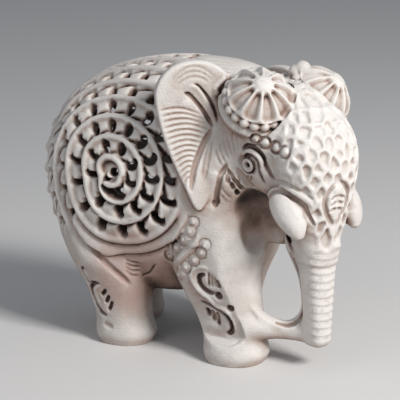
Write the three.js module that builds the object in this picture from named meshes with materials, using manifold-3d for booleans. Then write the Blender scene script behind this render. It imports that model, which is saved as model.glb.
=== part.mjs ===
// A carved soapstone elephant with a hollow, pierced body: one stone, about 90 mm high.
// Millimetres, +Z up. It faces -Y, with its head turned to its own right, which is -X.
import * as THREE from "three";
import { mergeVertices } from "three/addons/utils/BufferGeometryUtils.js";
import Module from "manifold-3d";

const wasm = await Module();
wasm.setup();

// ---- Driving dimensions -------------------------------------------------------------------

const MIDDLE = { x: -1.5, y: -1.5 }; // middle of the outline, brought to the origin at the end

// Torso stations from rump to chest: [y, top z, bottom z, half width]
const TORSO = [
  [49.2, 60, 48, 6],
  [47.8, 67, 40, 13],
  [44, 73.8, 30, 18],
  [36.5, 80.6, 21, 22.2],
  [26, 85.8, 16, 24.2],
  [12, 88.8, 14.6, 24.6],
  [-2, 89.6, 16.6, 24],
  [-15, 88.4, 25, 20.6],
  [-27, 84, 40, 14],
];
const TORSO_POWER = 2.2;
const TORSO_SIDES = 22;

// Leg stations from sole to hip: [z, centre x, centre y, half width, half length]
const LEGS = {
  frontRight: [
    [0, -15.3, -19.8, 9.4, 9.8],
    [3, -15.3, -19.8, 10, 10.4],
    [8, -15.2, -18.6, 8.9, 9.4],
    [14, -15, -17, 9, 10.4],
    [20, -15, -14.9, 10, 11.8],
    [27, -14.5, -12.6, 11, 13.4],
    [36, -12.5, -11.5, 12, 15.5],
    [48, -10, -8, 12, 16],
  ],
  frontLeft: [
    [0, 12, -6.2, 8.8, 8.8],
    [3, 12, -6.2, 9.3, 9.3],
    [8, 12, -6.2, 8.4, 8.6],
    [14, 12, -6.6, 8.8, 9.2],
    [20, 12, -7.2, 9.5, 10.5],
    [27, 12, -8.4, 10.5, 12.5],
    [36, 11, -9, 11.5, 15],
    [48, 9, -8, 12, 16],
  ],
  hindRight: [
    [0, -13, 19.5, 8.4, 8.8],
    [3, -13, 19.5, 9, 9.5],
    [8, -13, 20.2, 8.1, 8.9],
    [14, -13, 21.2, 8.4, 9.9],
    [20, -13, 22.6, 9.3, 11.3],
    [27, -13, 25, 10, 13.4],
    [36, -11, 28, 11, 15],
    [46, -9, 30, 11, 16],
  ],
  hindLeft: [
    [0, 10.5, 28.2, 8.4, 8.6],
    [3, 10.5, 28.2, 9, 9.2],
    [8, 10.6, 28.2, 8.1, 8.6],
    [14, 10.8, 28.2, 8.4, 9.4],
    [20, 11.2, 28.4, 9.3, 11],
    [27, 11.6, 28.6, 10, 13],
    [36, 11, 29, 11, 15],
    [46, 9, 30, 11, 16],
  ],
};
const LEG_SIDES = 12;

// Brisket stations between the front legs, same columns as a leg's
const BRISKET = [
  [22, -2, -9, 9, 9],
  [30, -4, -11, 12, 11],
  [38, -6, -15, 13, 12.2],
  [46, -6, -16, 14, 14],
  [58, -5, -14, 16, 16],
];

const HEAD = { x: -7, y: -33, turn: 27 }; // the head's own origin, and its turn to the right

// Skull and face stations, in the head's frame: [z, centre forward, half width, half length]
const SKULL = [
  [36, -4, 5, 5.5],
  [40, -3.6, 8, 8.6],
  [46, -3, 10.5, 11.5],
  [52, -2, 13, 13],
  [58, -1.5, 15, 14],
  [64, -1, 16, 14.5],
  [70, -1.4, 16.6, 14.5],
  [76, -2.2, 16.6, 13.5],
  [81, -3.4, 15, 11.5],
  [84.5, -4.4, 11, 8],
];
const FACE = [
  [80.5, 3, 6.5, 6],
  [77, 5.6, 10.5, 8.6],
  [71.5, 8.3, 13, 10],
  [65, 10.4, 13.6, 10.4],
  [58, 11.2, 12.4, 10],
  [52, 11.2, 10.8, 9.2],
  [46, 11.2, 9.2, 8.2],
  [40, 11.6, 7.4, 6.6],
  [34, 12.3, 5.6, 5.2],
];
// Trunk below the face, stepped by its folds: same columns
const TRUNK = { top: 38, foot: 9.4, tip: 6.8, folds: 8, step: 0.35 };
const TRUNK_TOP = { forward: 11.8, half: 7, long: 6.3 };
const TRUNK_FOOT = { forward: 13.2, half: 3.8, long: 3.9 };
const HEAD_SIDES = 14;
const TRUNK_SIDES = 10;

// Beaded armlets on the right foreleg, from the front down to the back: [y, z]
const ARMLETS = [
  { from: [-9.5, 44], to: [-1.5, 33.5], count: 5 },
  { from: [-13.5, 38], to: [-5.5, 27.5], count: 5 },
];
// Beads at each edge of the brow, and the eyes, in the head's frame: [forward, z]
const BROW = { from: [1, 70.5], to: [13.5, 67], count: 4, radius: 1.5 };
const EYE = [-1.5, 61];
const EYE_RADIUS = 2.1;

const DOME = { forward: -2.5, left: 11, z: 79, radius: 11, lean: 46, splay: 12, flutes: 11 };
const DOME_BEADS = { count: 11, radius: 1.5, off: 3.6 };

// Window between trunk and leg, in its own upright plane: run from the leg, and height
const WINDOW = { x: -16, y: -29, runX: 0.352, runY: -0.936 };
const RIM = [
  [5.2, 40.5],
  [8.2, 34],
  [10.8, 27.5],
  [12, 20.5],
  [11, 15.2],
  [7.5, 12.2],
  [3, 12.8],
  [-1.5, 16],
];

// Right ear's outline: [run back from its root, height]
const EAR = [
  [-3.2, 72],
  [-2, 85],
  [3, 90.2],
  [9.5, 91.2],
  [15.4, 89.6],
  [19.6, 85],
  [20.4, 79],
  [17.6, 67],
  [12.4, 54.5],
  [8.2, 47],
  [3.4, 53.6],
  [0, 60],
];
const EARS = {
  right: { x: -15.5, y: -15, backX: -0.573, backY: 0.819, lift: 4.5, drop: 0 },
  left: { x: 14.5, y: -29, backX: 0.42, backY: 0.907, lift: 4, drop: 4.6 },
};
const EAR_THICKNESS = 3.4;
// The right ear's two creases, as runs back from the root and heights
const EAR_CREASES = [
  [
    [9, 82],
    [4.6, 77.5],
    [2.6, 71],
    [5.4, 61],
    [7, 53],
  ],
  [
    [4, 87],
    [1.6, 80],
    [0, 72],
  ],
];
const CREASE = { radius: 0.8, sides: 4 };

// Leaf-shaped slots on the right legs, each from head to tip: [y, z] at both ends
const SLOTS = [
  { from: [-13.4, 27], to: [-9.6, 23.4], radius: 1.5 },
  { from: [-16.6, 20.6], to: [-13.4, 16.6], radius: 1.5 },
  { from: [-20.4, 14], to: [-16.8, 10.6], radius: 1.3 },
  { from: [32.6, 26], to: [31, 20], radius: 1.4 },
  { from: [28.6, 21], to: [27.6, 14.6], radius: 1.4 },
];

// Tail stations, lying on the left haunch: [x, y, z, radius]
const TAIL = [
  [2, 46.5, 68, 1.6],
  [4.5, 49, 56, 2.1],
  [6.5, 48.4, 44, 1.8],
  [8, 44.5, 32, 1.6],
  [9, 40.5, 23, 2.1],
  [9.2, 38.4, 16, 1],
];

// Pierced blanket. Its carving follows one spiral on each flank, laid out as arc lengths
// from the flank's middle, forward and up, over an ellipsoid of these half axes.
const FLANK = { y: 14.6, z: 53.4, half: 24.4, long: 36, high: 35 };
const SPIRAL = { pitch: 6.3, start: 1.365, shiftForward: -4.2, shiftUp: 2 };
const BLANKET = { front: 17, back: -43, bottom: -21, top: 44 };
const HOLE = { radius: 1.75, depth: 13, sides: 3, outward: 0.6 };
const RIDGE = { width: 1.8, height: 0.9, from: 0.8, to: 3.75 };
const BORDER = { up: -22.6, from: -33, to: 20, count: 9, width: 2.4, height: 1 };
// The right flank is the finer one: arc length between holes, and between ridge stations
const FINENESS = { right: { hole: 6.3, ridge: 8 }, left: { hole: 17.5, ridge: 14 } };
const CAVITY = { wall: 4.8, floor: 33, front: -10, back: 42, stations: 5, sides: 10 };

// ---- Shapes -------------------------------------------------------------------------------

const V = (x, y, z) => new THREE.Vector3(x, y, z);
const UP = V(0, 0, 1);

// A closed skin over rings of equal length, each end closed by a fan.
function loft(rings) {
  const sides = rings[0].length;
  const points = rings.flat();
  const index = [];
  for (let i = 0; i + 1 < rings.length; i++)
    for (let j = 0; j < sides; j++) {
      const a = i * sides + j;
      const b = i * sides + ((j + 1) % sides);
      index.push(a, b, a + sides, b, b + sides, a + sides);
    }
  for (const end of [0, rings.length - 1]) {
    const centre = points.length;
    points.push(rings[end].reduce((s, p) => s.add(p), V(0, 0, 0)).divideScalar(sides));
    for (let j = 0; j < sides; j++) {
      const a = end * sides + j;
      const b = end * sides + ((j + 1) % sides);
      index.push(...(end ? [a, b, centre] : [b, a, centre]));
    }
  }
  return new THREE.BufferGeometry().setFromPoints(points).setIndex(index);
}

// A manifold-3d solid from a closed geometry, turned to face outwards.
function solid(geometry) {
  const bare = geometry.clone();
  bare.deleteAttribute("normal");
  bare.deleteAttribute("uv");
  const merged = mergeVertices(bare, 1e-4);
  const triVerts = new Uint32Array(merged.index.array);
  const vertProperties = new Float32Array(merged.attributes.position.array);
  const made = new wasm.Manifold(new wasm.Mesh({ numProp: 3, vertProperties, triVerts }));
  if (made.volume() > 0) return made;
  for (let i = 0; i < triVerts.length; i += 3)
    [triVerts[i + 1], triVerts[i + 2]] = [triVerts[i + 2], triVerts[i + 1]];
  return new wasm.Manifold(new wasm.Mesh({ numProp: 3, vertProperties, triVerts }));
}

// A superellipse ring about a centre, spanned by two half axes.
function ring(centre, across, up, sides, power = 2) {
  const points = [];
  for (let j = 0; j < sides; j++) {
    const t = (j / sides) * Math.PI * 2;
    const c = Math.cos(t);
    const s = Math.sin(t);
    const u = Math.sign(c) * Math.abs(c) ** (2 / power);
    const v = Math.sign(s) * Math.abs(s) ** (2 / power);
    points.push(centre.clone().addScaledVector(across, u).addScaledVector(up, v));
  }
  return points;
}

// Rings of radius [point, radius] stations, square to their run; flat scales one half axis.
function rod(stations, sides, flat = 1, side = UP) {
  const rings = stations.map(([p, r], i) => {
    const before = stations[Math.max(i - 1, 0)][0];
    const after = stations[Math.min(i + 1, stations.length - 1)][0];
    const run = after.clone().sub(before).normalize();
    const across = side.clone().cross(run).normalize();
    const up = run.clone().cross(across).normalize();
    return ring(p, across.multiplyScalar(r), up.multiplyScalar(r * flat), sides);
  });
  return solid(loft(rings));
}

const caster = new THREE.Raycaster();
const skinMaterial = new THREE.MeshBasicMaterial({ side: THREE.DoubleSide });

function geometryOf(body) {
  const mesh = body.getMesh();
  const geometry = new THREE.BufferGeometry();
  geometry.setAttribute("position", new THREE.BufferAttribute(mesh.vertProperties, 3));
  return geometry.setIndex(new THREE.BufferAttribute(mesh.triVerts, 1));
}

const turn = THREE.MathUtils.degToRad(HEAD.turn);
const headForward = V(-Math.sin(turn), -Math.cos(turn), 0);
const headLeft = V(Math.cos(turn), -Math.sin(turn), 0);
// A point of the head's frame, forward and left of the head's origin.
const headPoint = (forward, left, z) =>
  V(HEAD.x, HEAD.y, z).addScaledVector(headForward, forward).addScaledVector(headLeft, left);

const torsoGeometry = loft(
  TORSO.map(([y, top, bottom, half]) => {
    const centre = V(0, y, (top + bottom) / 2);
    return ring(centre, V(half, 0, 0), V(0, 0, (top - bottom) / 2), TORSO_SIDES, TORSO_POWER);
  }),
);

const column = (stations, sides) =>
  solid(
    loft(
      stations.map(([z, x, y, half, long]) =>
        ring(V(x, y, z), V(half, 0, 0), V(0, long, 0), sides, 2.2),
      ),
    ),
  );

const headColumn = (stations) =>
  solid(
    loft(
      stations.map(([z, forward, half, long]) =>
        ring(
          headPoint(forward, 0, z),
          headLeft.clone().multiplyScalar(half),
          headForward.clone().multiplyScalar(long),
          HEAD_SIDES,
          2.2,
        ),
      ),
    ),
  );

function neck() {
  const back = V(0, -6, 63);
  const front = headPoint(-2, 0, 66);
  const run = front.clone().sub(back).normalize();
  const across = UP.clone().cross(run).normalize();
  const stations = [
    [0, 19, 22.5],
    [0.5, 17, 20.5],
    [1, 14, 17],
  ];
  return solid(
    loft(
      stations.map(([t, half, high]) =>
        ring(
          back.clone().lerp(front, t),
          across.clone().multiplyScalar(half),
          UP.clone().multiplyScalar(high),
          HEAD_SIDES,
          2.2,
        ),
      ),
    ),
  );
}

// ---- Head ---------------------------------------------------------------------------------

// A bead: a small round boss, half sunk where it sits.
function bead(point, radius) {
  const geometry = new THREE.OctahedronGeometry(radius, 0);
  geometry.translate(point.x, point.y, point.z);
  return solid(geometry);
}

// One fluted dome of the brow, leaning forward and out, with a ring of beads round its foot.
function dome(side) {
  const lean = THREE.MathUtils.degToRad(DOME.lean);
  const splay = THREE.MathUtils.degToRad(DOME.splay);
  const axis = headForward
    .clone()
    .multiplyScalar(Math.sin(lean) * Math.cos(splay))
    .addScaledVector(headLeft, side * Math.sin(lean) * Math.sin(splay))
    .addScaledVector(UP, Math.cos(lean));
  const across = headLeft.clone().cross(axis).normalize();
  const up = axis.clone().cross(across).normalize();
  const centre = headPoint(DOME.forward, side * DOME.left, DOME.z);
  const at = (angle, out, along) =>
    centre
      .clone()
      .addScaledVector(axis, along)
      .addScaledVector(across, out * Math.cos(angle))
      .addScaledVector(up, out * Math.sin(angle));
  // Latitude from the foot up: [angle from the axis, share of the radius, flute depth]
  const rows = [
    [110, 1, 0],
    [64, 1, 0],
    [52, 1, 0.14],
    [30, 0.98, 0.15],
    [15, 1.03, 0],
  ];
  const count = DOME.flutes * 2;
  const rings = rows.map(([latitude, share, depth]) => {
    const a = THREE.MathUtils.degToRad(latitude);
    return Array.from({ length: count }, (_, j) => {
      const r = DOME.radius * share * (1 - (j % 2) * depth);
      return at((j / count) * Math.PI * 2, r * Math.sin(a), r * Math.cos(a));
    });
  });
  let made = solid(loft(rings));
  const out = Math.sqrt(DOME.radius ** 2 - DOME_BEADS.off ** 2);
  for (let i = 0; i < DOME_BEADS.count; i++) {
    const angle = (i / DOME_BEADS.count) * Math.PI * 2;
    made = made.add(bead(at(angle, out, DOME_BEADS.off), DOME_BEADS.radius));
  }
  return made;
}

function trunk() {
  const rings = [];
  const add = (share, z, grow) => {
    const mix = (a, b) => a + (b - a) * share;
    const thin = share ** 0.62;
    const half = TRUNK_TOP.half + (TRUNK_FOOT.half - TRUNK_TOP.half) * thin + grow;
    const long = TRUNK_TOP.long + (TRUNK_FOOT.long - TRUNK_TOP.long) * thin + grow;
    const centre = headPoint(mix(TRUNK_TOP.forward, TRUNK_FOOT.forward), 0, z);
    const across = headLeft.clone().multiplyScalar(half);
    rings.push(ring(centre, across, headForward.clone().multiplyScalar(long), TRUNK_SIDES, 2.2));
  };
  for (let i = 0; i <= TRUNK.folds; i++) {
    const share = i / TRUNK.folds;
    const z = TRUNK.top + (TRUNK.foot - TRUNK.top) * share;
    add(share, z, i ? -TRUNK.step : 0);
    add(share, z - 0.4, TRUNK.step);
  }
  add(1, TRUNK.tip, -1);
  return solid(loft(rings));
}

function tusk(side) {
  return rod(
    [
      [headPoint(2, side * 10, 55.4), 3.6],
      [headPoint(7, side * 11.6, 52.4), 4.1],
      [headPoint(11, side * 12, 48.4), 3.9],
      [headPoint(14.4, side * 11.8, 44), 3.1],
      [headPoint(16.4, side * 11.2, 40.4), 1.4],
    ],
    8,
  );
}

// An ear: a plate swung back from its root, its lower end standing off the shoulder.
function ear({ x, y, backX, backY, lift, drop }, side) {
  const shape = new THREE.Shape(EAR.map(([run, z]) => new THREE.Vector2(run, z)));
  const plate = new THREE.ExtrudeGeometry(shape, {
    depth: EAR_THICKNESS,
    bevelEnabled: false,
    steps: 1,
  });
  const zs = EAR.map(([, z]) => z);
  const low = Math.min(...zs);
  const high = Math.max(...zs);
  const position = plate.getAttribute("position");
  const out = V(backY * side, -backX * side, 0);
  for (let i = 0; i < position.count; i++) {
    const run = position.getX(i);
    const z = position.getY(i);
    const off = position.getZ(i) - EAR_THICKNESS + lift * (1 - (z - low) / (high - low));
    position.setXYZ(i, x + backX * run + out.x * off, y + backY * run + out.y * off, z - drop);
  }
  return solid(plate);
}

// Beads spaced evenly from one place to another, seated on what has been carved so far.
function beadRow(body, { from, to, count, radius, towards }) {
  const skin = new THREE.Mesh(geometryOf(body), skinMaterial);
  skin.updateMatrixWorld();
  const made = [];
  for (let i = 0; i < count; i++) {
    const aim = from.clone().lerp(to, count > 1 ? i / (count - 1) : 0);
    caster.set(aim.clone().addScaledVector(towards, -60), towards);
    made.push(bead(caster.intersectObject(skin)[0].point, radius));
  }
  return made;
}

// Creases pressed into the front face of the right ear.
function earCreases({ x, y, backX, backY, lift }) {
  const low = Math.min(...EAR.map(([, z]) => z));
  const high = Math.max(...EAR.map(([, z]) => z));
  const outward = V(-backY, backX, 0);
  return EAR_CREASES.map((crease) =>
    rod(
      crease.map(([run, z]) => {
        const place = V(x + backX * run, y + backY * run, z);
        const off = lift * (1 - (z - low) / (high - low)) + 0.1;
        return [place.addScaledVector(outward, off), CREASE.radius];
      }),
      CREASE.sides,
      1,
      outward,
    ),
  );
}

// Slots drilled into the outer face of the right legs, each a tapering drop.
function slots(body) {
  const skin = new THREE.Mesh(geometryOf(body), skinMaterial);
  skin.updateMatrixWorld();
  const seat = ([y, z]) => {
    caster.set(V(-60, y, z), V(1, 0, 0));
    return caster.intersectObject(skin)[0].point;
  };
  return SLOTS.map(({ from, to, radius }) => {
    const stations = [
      [seat(from), radius],
      [seat(to), radius * 0.35],
    ];
    return rod(stations, 5);
  });
}

const tail = () =>
  rod(
    TAIL.map(([x, y, z, radius]) => [V(x, y, z), radius]),
    6,
    1,
    V(1, 0, 0),
  );

// The raised rim of the window between trunk and leg, and the web that ties trunk to leg.
function windowRim() {
  const at = (run, z) => V(WINDOW.x + WINDOW.runX * run, WINDOW.y + WINDOW.runY * run, z);
  const through = V(-WINDOW.runY, WINDOW.runX, 0);
  const rim = rod(
    RIM.map(([run, z]) => [at(run, z), 1.15]),
    6,
    2.1,
    through,
  );
  const web = rod(
    [
      [at(-2, 10.6), 3.4],
      [at(6, 10.6), 2.7],
      [at(14, 10.2), 3.4],
    ],
    8,
    1,
  );
  return [rim, web];
}

// Two rows round the right foreleg, one along each edge of the brow, and the two eyes.
function beadRows() {
  const inward = V(1, 0, 0);
  const rows = ARMLETS.map(({ from, to, count }) => ({
    from: V(0, ...from),
    to: V(0, ...to),
    count,
    radius: 1.6,
    towards: inward,
  }));
  for (const side of [-1, 1]) {
    const towards = headLeft.clone().multiplyScalar(-side);
    const place = ([forward, z]) => headPoint(forward, 0, z);
    rows.push({ ...BROW, from: place(BROW.from), to: place(BROW.to), towards });
    rows.push({ from: place(EYE), to: place(EYE), count: 1, radius: EYE_RADIUS, towards });
  }
  return rows;
}

// ---- Pierced blanket ----------------------------------------------------------------------

// The point of the torso's skin at an arc length forward and up from the flank's middle.
const torsoMesh = new THREE.Mesh(torsoGeometry, skinMaterial);
function onFlank(forward, up, side) {
  const arc = Math.hypot(forward, up);
  const heading = Math.atan2(up, forward);
  const reach = Math.hypot(FLANK.long * Math.cos(heading), FLANK.high * Math.sin(heading));
  let swing = arc / reach;
  for (let i = 0; i < 6; i++)
    swing = arc / (reach - 0.45 * (reach - FLANK.half) * (swing / (Math.PI / 2)) ** 2);
  const centre = V(0, FLANK.y, FLANK.z);
  const direction = V(
    side * FLANK.half * Math.cos(swing),
    -FLANK.long * Math.sin(swing) * Math.cos(heading),
    FLANK.high * Math.sin(swing) * Math.sin(heading),
  ).normalize();
  caster.set(centre.clone().addScaledVector(direction, 200), direction.clone().negate());
  const hit = caster.intersectObject(torsoMesh)[0];
  const normal = direction.clone();
  return { point: hit.point, normal };
}

// The spiral's point after so many turns from its eye. It squares up as it nears the edges.
function spiralPoint(turns, outward = 0) {
  const angle = (turns - SPIRAL.start) * Math.PI * 2;
  const radius = SPIRAL.pitch * (turns + outward);
  const square = THREE.MathUtils.clamp((radius - 16) / 16, 0, 1);
  const power = 2 + 2 * square;
  const c = Math.abs(Math.cos(angle));
  const s = Math.abs(Math.sin(angle));
  const scale = radius / (c ** power + s ** power) ** (1 / power);
  return [
    SPIRAL.shiftForward + scale * Math.cos(angle),
    SPIRAL.shiftUp + scale * Math.sin(angle),
  ];
}

const inBlanket = ([forward, up], margin) =>
  forward < BLANKET.front - margin &&
  forward > BLANKET.back + margin &&
  up > BLANKET.bottom + margin &&
  up < BLANKET.top - margin;

// The torso's top, bottom and half width at any y, between its stations.
function torsoAt(y) {
  const i = TORSO.findIndex((station, k) => k > 0 && station[0] <= y);
  const [a, b] = [TORSO[i - 1], TORSO[i]];
  const t = (y - a[0]) / (b[0] - a[0]);
  return a.map((value, k) => value + (b[k] - value) * t);
}

// The hollow that the carver works out through the holes: a wall's depth in, flat-floored.
function cavity() {
  const rings = Array.from({ length: CAVITY.stations }, (_, i) => {
    const share = (1 - Math.cos((Math.PI * i) / (CAVITY.stations - 1))) / 2;
    const y = CAVITY.back + (CAVITY.front - CAVITY.back) * share;
    const [, top, bottom, half] = torsoAt(y);
    const high = top - CAVITY.wall;
    const low = Math.max(bottom + CAVITY.wall, CAVITY.floor);
    const centre = V(0, y, (high + low) / 2);
    return ring(centre, V(half - CAVITY.wall, 0, 0), V(0, 0, (high - low) / 2), CAVITY.sides, 2.4);
  });
  return solid(loft(rings));
}

function holes(side, stride) {
  const made = [];
  for (let turns = 0.62; turns < 8; ) {
    const place = spiralPoint(turns, HOLE.outward);
    const ahead = spiralPoint(turns + 0.02, HOLE.outward);
    turns += stride / (2 * Math.PI * SPIRAL.pitch * (turns + HOLE.outward));
    if (!inBlanket(place, 1.5)) continue;
    const { point, normal } = onFlank(...place, side);
    const along = onFlank(...ahead, side).point.sub(point).normalize();
    const outside = point.clone().addScaledVector(normal, 3);
    const inside = point.clone().addScaledVector(normal, -HOLE.depth);
    const stations = [
      [outside, HOLE.radius],
      [inside, HOLE.radius],
    ];
    made.push(rod(stations, HOLE.sides, 1, along.cross(normal)));
  }
  return made;
}

// A ridge that stands on the torso's skin along a line of places, as a three-sided strip.
function ridge(places, side, width, height) {
  const feet = places.map((place) => onFlank(...place, side));
  const rings = feet.map(({ point, normal }, i) => {
    const before = feet[Math.max(i - 1, 0)].point;
    const after = feet[Math.min(i + 1, feet.length - 1)].point;
    const across = after.clone().sub(before).cross(normal).normalize();
    const low = point.clone().addScaledVector(normal, -0.8);
    return [
      low.clone().addScaledVector(across, -width / 2),
      point.clone().addScaledVector(normal, height),
      low.clone().addScaledVector(across, width / 2),
    ];
  });
  return solid(loft(rings));
}

function blanketRidges(side, stride) {
  const strips = [[]];
  for (let turns = RIDGE.from; turns < RIDGE.to; ) {
    const place = spiralPoint(turns);
    turns += stride / (2 * Math.PI * SPIRAL.pitch * turns);
    if (inBlanket(place, 0)) strips.at(-1).push(place);
    else if (strips.at(-1).length) strips.push([]);
  }
  const spiral = strips
    .filter((strip) => strip.length > 1)
    .map((strip) => ridge(strip, side, RIDGE.width, RIDGE.height));
  const border = Array.from({ length: BORDER.count }, (_, i) => {
    const forward = BORDER.from + ((BORDER.to - BORDER.from) * i) / (BORDER.count - 1);
    return [forward, BORDER.up];
  });
  return [...spiral, ridge(border, side, BORDER.width, BORDER.height)];
}

// ---- Assembly -----------------------------------------------------------------------------

let elephant = solid(torsoGeometry);
const join = (pieces) => pieces.forEach((piece) => (elephant = elephant.add(piece)));
const cut = (pieces) => pieces.forEach((piece) => (elephant = elephant.subtract(piece)));

join(Object.values(LEGS).map((stations) => column(stations, LEG_SIDES)));
join([column(BRISKET, LEG_SIDES), neck(), headColumn(SKULL), headColumn(FACE), trunk(), tail()]);
join([-1, 1].flatMap((side) => [dome(side), tusk(side)]));
join([ear(EARS.right, -1), ear(EARS.left, 1), ...windowRim()]);
cut([...earCreases(EARS.right), ...slots(elephant)]);
join(beadRows().flatMap((row) => beadRow(elephant, row)));
join([...blanketRidges(-1, FINENESS.right.ridge), ...blanketRidges(1, FINENESS.left.ridge)]);
cut([cavity(), ...holes(-1, FINENESS.right.hole), ...holes(1, FINENESS.left.hole)]);

const geometry = geometryOf(elephant);
geometry.translate(-MIDDLE.x, -MIDDLE.y, 0);

const soapstone = new THREE.MeshStandardMaterial({ color: 0xd9d0c6, roughness: 0.75, metalness: 0 });
const mesh = new THREE.Mesh(geometry, soapstone);
mesh.name = "elephant";
const group = new THREE.Group();
group.add(mesh);

export default group;
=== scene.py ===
"""A carved soapstone elephant, about 91 mm high, with a hollow body pierced in a spiral pattern."""

import math

import bmesh
import bpy
import numpy as np
import openvdb
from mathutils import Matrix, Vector


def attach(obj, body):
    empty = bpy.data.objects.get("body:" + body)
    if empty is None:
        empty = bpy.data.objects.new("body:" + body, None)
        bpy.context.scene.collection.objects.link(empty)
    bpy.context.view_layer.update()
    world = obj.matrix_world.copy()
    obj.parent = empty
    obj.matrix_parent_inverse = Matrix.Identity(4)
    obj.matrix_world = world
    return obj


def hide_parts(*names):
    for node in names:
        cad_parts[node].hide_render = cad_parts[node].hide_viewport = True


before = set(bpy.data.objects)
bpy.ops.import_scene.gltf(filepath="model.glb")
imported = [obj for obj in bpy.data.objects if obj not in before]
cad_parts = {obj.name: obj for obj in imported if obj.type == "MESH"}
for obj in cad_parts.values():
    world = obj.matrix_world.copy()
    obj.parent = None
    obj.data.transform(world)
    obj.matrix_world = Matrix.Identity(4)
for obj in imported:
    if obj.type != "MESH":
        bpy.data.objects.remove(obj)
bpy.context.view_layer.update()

# ---- The block ----------------------------------------------------------------------------
# The elephant is one stone, cut from a block. It is kept here as a block of small cells, each
# holding its distance to the stone's skin, so forms can be blended, carved and drilled as a
# carver does. Millimetres, facing -Y, before the outline's middle is brought to the origin.

MIDDLE = (-1.5, -1.5)
CELL = 0.34
BLOCK_LOW = np.array([-32.0, -57.5, -3.0])
BLOCK_HIGH = np.array([29.0, 54.5, 94.5])
BAND = 3.2  # distances are kept up to this far from the skin

cells = tuple(int(n) for n in np.ceil((BLOCK_HIGH - BLOCK_LOW) / CELL))
stone = np.full(cells, BAND, np.float32)
lattice = openvdb.createLinearTransform(voxelSize=CELL)


def distance(bm):
    """The distance from every cell of the block to a closed form's skin, negative inside."""
    bmesh.ops.recalc_face_normals(bm, faces=bm.faces)
    bmesh.ops.triangulate(bm, faces=bm.faces)
    bm.verts.index_update()
    places = np.array([v.co[:] for v in bm.verts], np.float32) - BLOCK_LOW.astype(np.float32)
    corners = np.array([[v.index for v in f.verts] for f in bm.faces], np.uint32)
    bm.free()
    level = openvdb.FloatGrid.createLevelSetFromPolygons(
        places, triangles=corners, transform=lattice, halfWidth=BAND / CELL
    )
    away = np.empty(cells, np.float32)
    level.copyToArray(away)
    return away


def blended(a, b, soft):
    """The union of two forms, with their joint filled to a soft fillet."""
    if soft <= 0:
        return np.minimum(a, b)
    near = np.maximum(soft - np.abs(a - b), 0) / soft
    return np.minimum(a, b) - near * near * near * soft / 6


def join(bm, soft=0.0):
    """Adds a form to the stone."""
    away = distance(bm)
    filled = np.argwhere(away < BAND * 0.99)
    low, high = filled.min(0), filled.max(0) + 1
    box = tuple(slice(a, b) for a, b in zip(low, high))
    stone[box] = blended(stone[box], away[box], soft)


def eased(stations, count):
    """Stations spaced evenly along a smooth curve through the given ones."""
    table = np.array(stations, float)
    at = np.arange(len(table))
    slope = np.gradient(table, axis=0)
    where = np.linspace(0, len(table) - 1, count)
    i = np.minimum(where.astype(int), len(table) - 2)
    t = (where - i)[:, None]
    a, b, ma, mb = table[i], table[i + 1], slope[i], slope[i + 1]
    h = 2 * t**3 - 3 * t**2 + 1, t**3 - 2 * t**2 + t, -2 * t**3 + 3 * t**2, t**3 - t**2
    return h[0] * a + h[1] * ma + h[2] * b + h[3] * mb


def skin(rings, power=2.2, sides=40):
    """A closed skin over rings, each a centre with the two half axes that span it."""
    bm = bmesh.new()
    loops = []
    for centre, across, up in rings:
        made = bmesh.ops.create_circle(bm, segments=sides, radius=1.0)["verts"]
        for v in made:
            c, s = v.co.x, v.co.y
            c = math.copysign(abs(c) ** (2 / power), c)
            s = math.copysign(abs(s) ** (2 / power), s)
            v.co = Vector(centre) + Vector(across) * c + Vector(up) * s
        loops.append(made)
    edges = [{e for v in loop for e in v.link_edges} for loop in loops]
    for a, b in zip(edges, edges[1:]):
        bmesh.ops.bridge_loops(bm, edges=list(a | b))
    for loop in (loops[0], loops[-1]):
        bm.faces.new(loop)
    return bm


# ---- Torso --------------------------------------------------------------------------------
# The barrel of the body, with a high straight back and a round rump. It is the part of the
# stone that is hollowed and pierced afterwards.

# Stations from rump to chest: [y, top z, bottom z, half width]
TORSO = [
    [49.4, 59, 49, 4.5],
    [47.8, 67, 40, 13],
    [44, 73.8, 30, 18],
    [36.5, 80.6, 21, 22.2],
    [26, 85.8, 16, 24.2],
    [12, 88.8, 14.6, 24.6],
    [-2, 89.6, 16.6, 24],
    [-15, 88.4, 25, 20.6],
    [-27, 84, 40, 14],
]
join(
    skin(
        [
            ((0, y, (top + bottom) / 2), (half, 0, 0), (0, 0, (top - bottom) / 2))
            for y, top, bottom, half in eased(TORSO, 36)
        ],
        sides=56,
    )
)

# ---- Legs ---------------------------------------------------------------------------------
# Four short thick legs, the right fore leg forward of the left one and the right hind leg
# forward of its pair, each flaring a little to a flat sole. They run up into the torso.

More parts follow.
